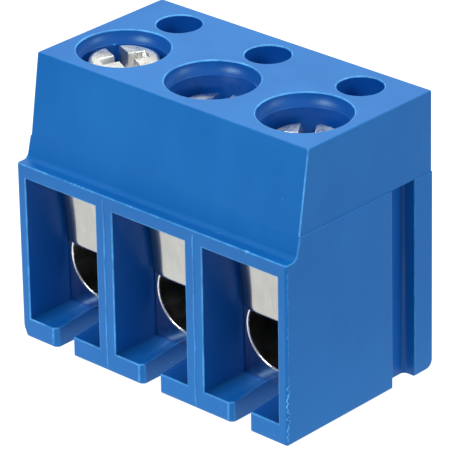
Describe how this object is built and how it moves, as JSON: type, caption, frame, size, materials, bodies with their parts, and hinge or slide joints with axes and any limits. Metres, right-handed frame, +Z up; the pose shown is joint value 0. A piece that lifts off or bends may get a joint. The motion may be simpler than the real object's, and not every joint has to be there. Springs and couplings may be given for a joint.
{
  "type": "screw terminal block",
  "caption": "Blue screw terminal block for a circuit board, with a row of wire entries, plated clamp bodies, sprung wire guards and slotted clamp screws.",
  "frame": {"origin": "axis of the middle solder pin, at the face that sits on the board", "axes": "+X along the row of poles, to the right seen from the wire entries; +Y from the wire entries to the back; +Z up, towards the screwdriver side"},
  "size_m": [0.0155, 0.009, 0.014],
  "materials": {
    "housing_plastic": "satin moulded",
    "clamp_nickel": "nickel plated, polished",
    "pin_tin": "tin plated",
    "guard_steel": "bright rolled",
    "screw_plate": "bright plated"
  },
  "bodies": {
    "block": {"housing": "housing_plastic", "clamp_body_1": "clamp_nickel", "clamp_body_2": "clamp_nickel", "clamp_body_3": "clamp_nickel", "solder_pin_1": "pin_tin", "solder_pin_2": "pin_tin", "solder_pin_3": "pin_tin"},
    "guard_1": {"wire_guard_1": "guard_steel"},
    "screw_1": {"clamp_screw_1": "screw_plate"},
    "guard_2": {"wire_guard_2": "guard_steel"},
    "screw_2": {"clamp_screw_2": "screw_plate"},
    "guard_3": {"wire_guard_3": "guard_steel"},
    "screw_3": {"clamp_screw_3": "screw_plate"}
  },
  "joints": [
    {"name": "guard_slide_1", "type": "slide", "parent": "block", "child": "guard_1", "axis": [0, 0, 1], "range_m": [-0.00124, 0.00045]},
    {"name": "screw_turn_1", "type": "hinge", "parent": "guard_1", "child": "screw_1", "pos_m": [-0.005, 0, 0.0112], "axis": [0, 0, 1], "range_deg": [-990, 360]},
    {"name": "guard_slide_2", "type": "slide", "parent": "block", "child": "guard_2", "axis": [0, 0, 1], "range_m": [-0.00135, 0.00034]},
    {"name": "screw_turn_2", "type": "hinge", "parent": "guard_2", "child": "screw_2", "pos_m": [0, 0, 0.0112], "axis": [0, 0, 1], "range_deg": [-1080, 270]},
    {"name": "guard_slide_3", "type": "slide", "parent": "block", "child": "guard_3", "axis": [0, 0, 1], "range_m": [-0.00146, 0.00022]},
    {"name": "screw_turn_3", "type": "hinge", "parent": "guard_3", "child": "screw_3", "pos_m": [0.005, 0, 0.0112], "axis": [0, 0, 1], "range_deg": [-1170, 180]}
  ],
  "couplings": [
    {"joint": "screw_turn_1", "follows": "guard_slide_1", "rad_per_m": 13963},
    {"joint": "screw_turn_2", "follows": "guard_slide_2", "rad_per_m": 13963},
    {"joint": "screw_turn_3", "follows": "guard_slide_3", "rad_per_m": 13963}
  ]
}
